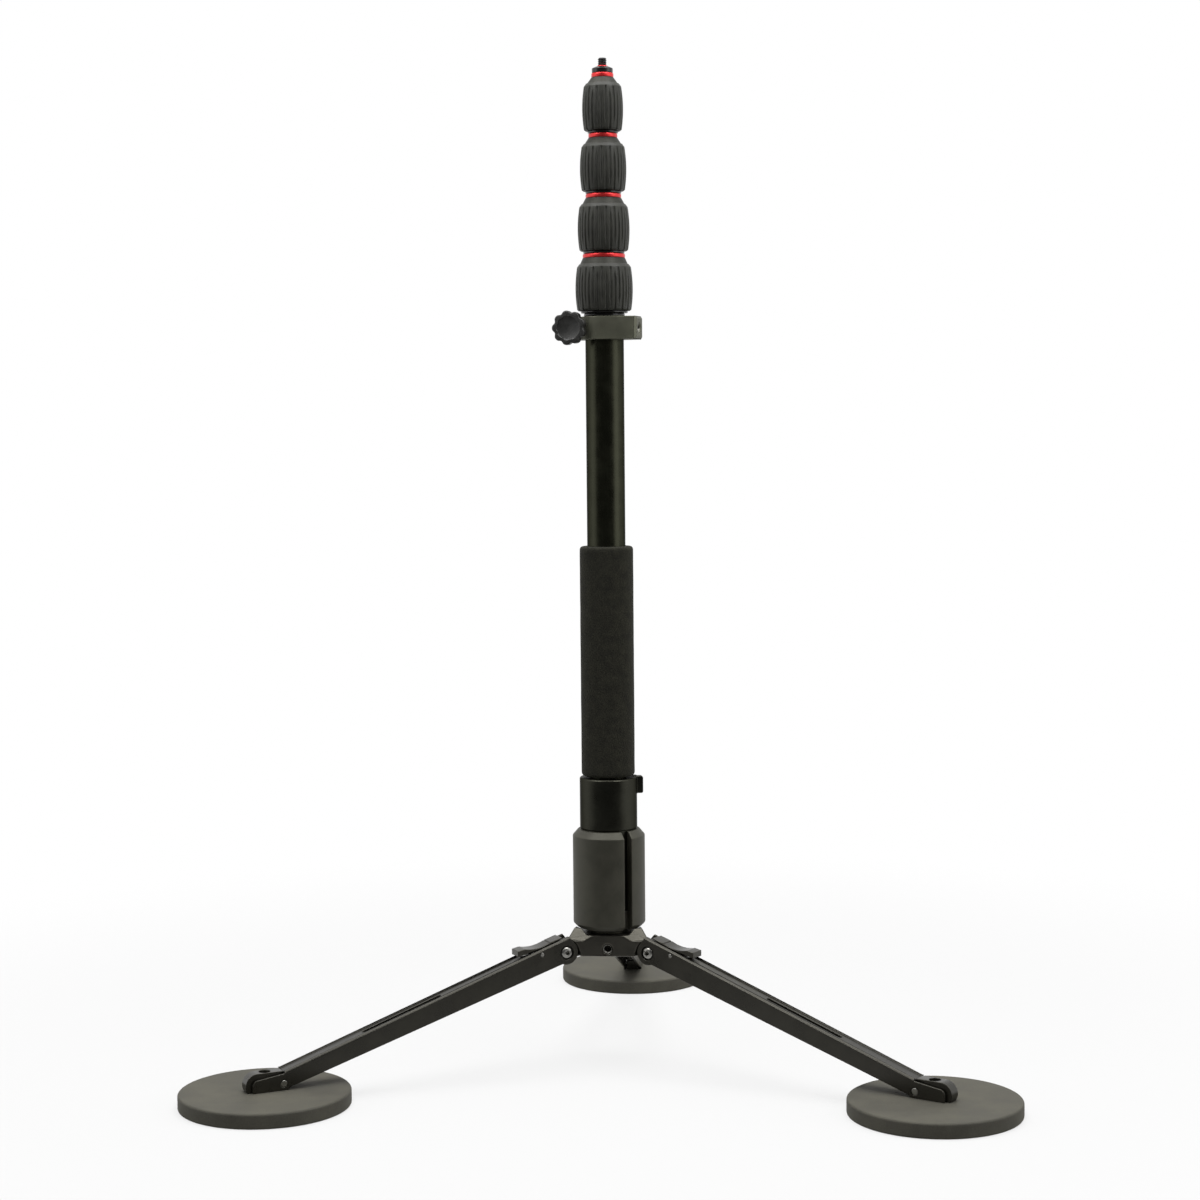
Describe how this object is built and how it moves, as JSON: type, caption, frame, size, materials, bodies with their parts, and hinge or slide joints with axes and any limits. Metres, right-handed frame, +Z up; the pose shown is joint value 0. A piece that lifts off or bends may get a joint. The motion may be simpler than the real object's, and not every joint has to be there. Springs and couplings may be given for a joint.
{
  "type": "camera monopod",
  "caption": "Telescopic camera monopod with twist locks, foam grip, accessory clamp and a folding three-leg base that stands on round weight discs",
  "frame": {"origin": "on the floor, under the mast's axis", "axes": "+Z up along the mast; leg 1 points along +Y, to the rear; the hub's front flat faces -Y"},
  "size_m": [0.5818, 0.5199, 0.7327],
  "materials": {
    "anodised_aluminium": "satin",
    "polished_dark_aluminium": "gloss",
    "red_anodised": "gloss",
    "bright_steel": "satin",
    "blackened_steel": "satin",
    "grip_rubber": "matte",
    "grip_foam": "matte",
    "knob_plastic": "matte",
    "guide_plastic": "matte",
    "disc_iron": "matte"
  },
  "bodies": {
    "mast": {"main_tube": "anodised_aluminium", "foam_grip": "grip_foam", "base_collar": "anodised_aluminium", "socket_housing": "anodised_aluminium", "base_bolt": "bright_steel", "hub": "anodised_aluminium", "leg_pivot_screws": "bright_steel", "lock_1_sleeve": "polished_dark_aluminium", "lock_1_collet": "guide_plastic"},
    "section_5": {"tube_5": "anodised_aluminium", "guide_5": "guide_plastic", "top_platform": "polished_dark_aluminium", "camera_stud": "blackened_steel"},
    "clamp": {"clamp_band": "polished_dark_aluminium"},
    "clamp_knob": {"clamp_knob": "knob_plastic"},
    "section_2": {"tube_2": "anodised_aluminium", "guide_2": "guide_plastic", "lock_2_sleeve": "polished_dark_aluminium", "lock_2_collet": "guide_plastic"},
    "section_3": {"tube_3": "anodised_aluminium", "guide_3": "guide_plastic", "lock_3_sleeve": "polished_dark_aluminium", "lock_3_collet": "guide_plastic"},
    "section_4": {"tube_4": "anodised_aluminium", "guide_4": "guide_plastic", "lock_4_sleeve": "polished_dark_aluminium", "lock_4_collet": "guide_plastic"},
    "lock_1": {"lock_1_nut": "polished_dark_aluminium", "lock_1_grip": "grip_rubber", "lock_1_ring": "red_anodised"},
    "lock_2": {"lock_2_nut": "polished_dark_aluminium", "lock_2_grip": "grip_rubber", "lock_2_ring": "red_anodised"},
    "lock_3": {"lock_3_nut": "polished_dark_aluminium", "lock_3_grip": "grip_rubber", "lock_3_ring": "red_anodised"},
    "lock_4": {"lock_4_nut": "polished_dark_aluminium", "lock_4_grip": "grip_rubber", "lock_4_ring": "red_anodised"},
    "leg_1": {"leg_1_channel": "anodised_aluminium", "leg_1_pins": "bright_steel", "leg_1_foot": "polished_dark_aluminium", "leg_1_disc": "disc_iron", "leg_1_disc_screw": "bright_steel", "leg_1_spring": "bright_steel"},
    "rocker_1": {"leg_1_rocker": "polished_dark_aluminium"},
    "leg_2": {"leg_2_channel": "anodised_aluminium", "leg_2_pins": "bright_steel", "leg_2_foot": "polished_dark_aluminium", "leg_2_disc": "disc_iron", "leg_2_disc_screw": "bright_steel", "leg_2_spring": "bright_steel"},
    "rocker_2": {"leg_2_rocker": "polished_dark_aluminium"},
    "leg_3": {"leg_3_channel": "anodised_aluminium", "leg_3_pins": "bright_steel", "leg_3_foot": "polished_dark_aluminium", "leg_3_disc": "disc_iron", "leg_3_disc_screw": "bright_steel", "leg_3_spring": "bright_steel"},
    "rocker_3": {"leg_3_rocker": "polished_dark_aluminium"}
  },
  "joints": [
    {"name": "lock_1_turn", "type": "hinge", "parent": "mast", "child": "lock_1", "pos_m": [0, 0, 0.5667], "axis": [0, 0, 1], "range_deg": [0, 120]},
    {"name": "lock_2_turn", "type": "hinge", "parent": "section_2", "child": "lock_2", "pos_m": [0, 0, 0.6097], "axis": [0, 0, 1], "range_deg": [0, 120]},
    {"name": "lock_3_turn", "type": "hinge", "parent": "section_3", "child": "lock_3", "pos_m": [0, 0, 0.6527], "axis": [0, 0, 1], "range_deg": [0, 120]},
    {"name": "lock_4_turn", "type": "hinge", "parent": "section_4", "child": "lock_4", "pos_m": [0, 0, 0.6957], "axis": [0, 0, 1], "range_deg": [0, 120]},
    {"name": "section_2_slide", "type": "slide", "parent": "mast", "child": "section_2", "axis": [0, 0, 1], "range_m": [0, 0.37]},
    {"name": "section_3_slide", "type": "slide", "parent": "section_2", "child": "section_3", "axis": [0, 0, 1], "range_m": [0, 0.37]},
    {"name": "section_4_slide", "type": "slide", "parent": "section_3", "child": "section_4", "axis": [0, 0, 1], "range_m": [0, 0.37]},
    {"name": "section_5_slide", "type": "slide", "parent": "section_4", "child": "section_5", "axis": [0, 0, 1], "range_m": [0, 0.37]},
    {"name": "clamp_slide", "type": "slide", "parent": "mast", "child": "clamp", "axis": [0, 0, 1], "range_m": [-0.145, 0]},
    {"name": "clamp_knob_turn", "type": "hinge", "parent": "clamp", "child": "clamp_knob", "pos_m": [-0.01949, 0.0045, 0.5392], "axis": [-0.225, -0.9744, 0], "range_deg": [0, 360]},
    {"name": "leg_1_fold", "type": "hinge", "parent": "mast", "child": "leg_1", "pos_m": [0, 0.038, 0.0855], "axis": [-1, 0, 0], "range_deg": [0, 66]},
    {"name": "rocker_1_press", "type": "hinge", "parent": "leg_1", "child": "rocker_1", "pos_m": [0, 0.0577, 0.08603], "axis": [-1, 0, 0], "range_deg": [0, 5], "stiffness_Nm_per_rad": 0.5, "springref_deg": -5.73, "deforming": ["leg_1_spring"]},
    {"name": "leg_2_fold", "type": "hinge", "parent": "mast", "child": "leg_2", "pos_m": [-0.03291, -0.019, 0.0855], "axis": [0.5, -0.866, 0], "range_deg": [0, 66]},
    {"name": "rocker_2_press", "type": "hinge", "parent": "leg_2", "child": "rocker_2", "pos_m": [-0.04997, -0.02885, 0.08603], "axis": [0.5, -0.866, 0], "range_deg": [0, 5], "stiffness_Nm_per_rad": 0.5, "springref_deg": -5.73, "deforming": ["leg_2_spring"]},
    {"name": "leg_3_fold", "type": "hinge", "parent": "mast", "child": "leg_3", "pos_m": [0.03291, -0.019, 0.0855], "axis": [0.5, 0.866, 0], "range_deg": [0, 66]},
    {"name": "rocker_3_press", "type": "hinge", "parent": "leg_3", "child": "rocker_3", "pos_m": [0.04997, -0.02885, 0.08603], "axis": [0.5, 0.866, 0], "range_deg": [0, 5], "stiffness_Nm_per_rad": 0.5, "springref_deg": -5.73, "deforming": ["leg_3_spring"]}
  ]
}
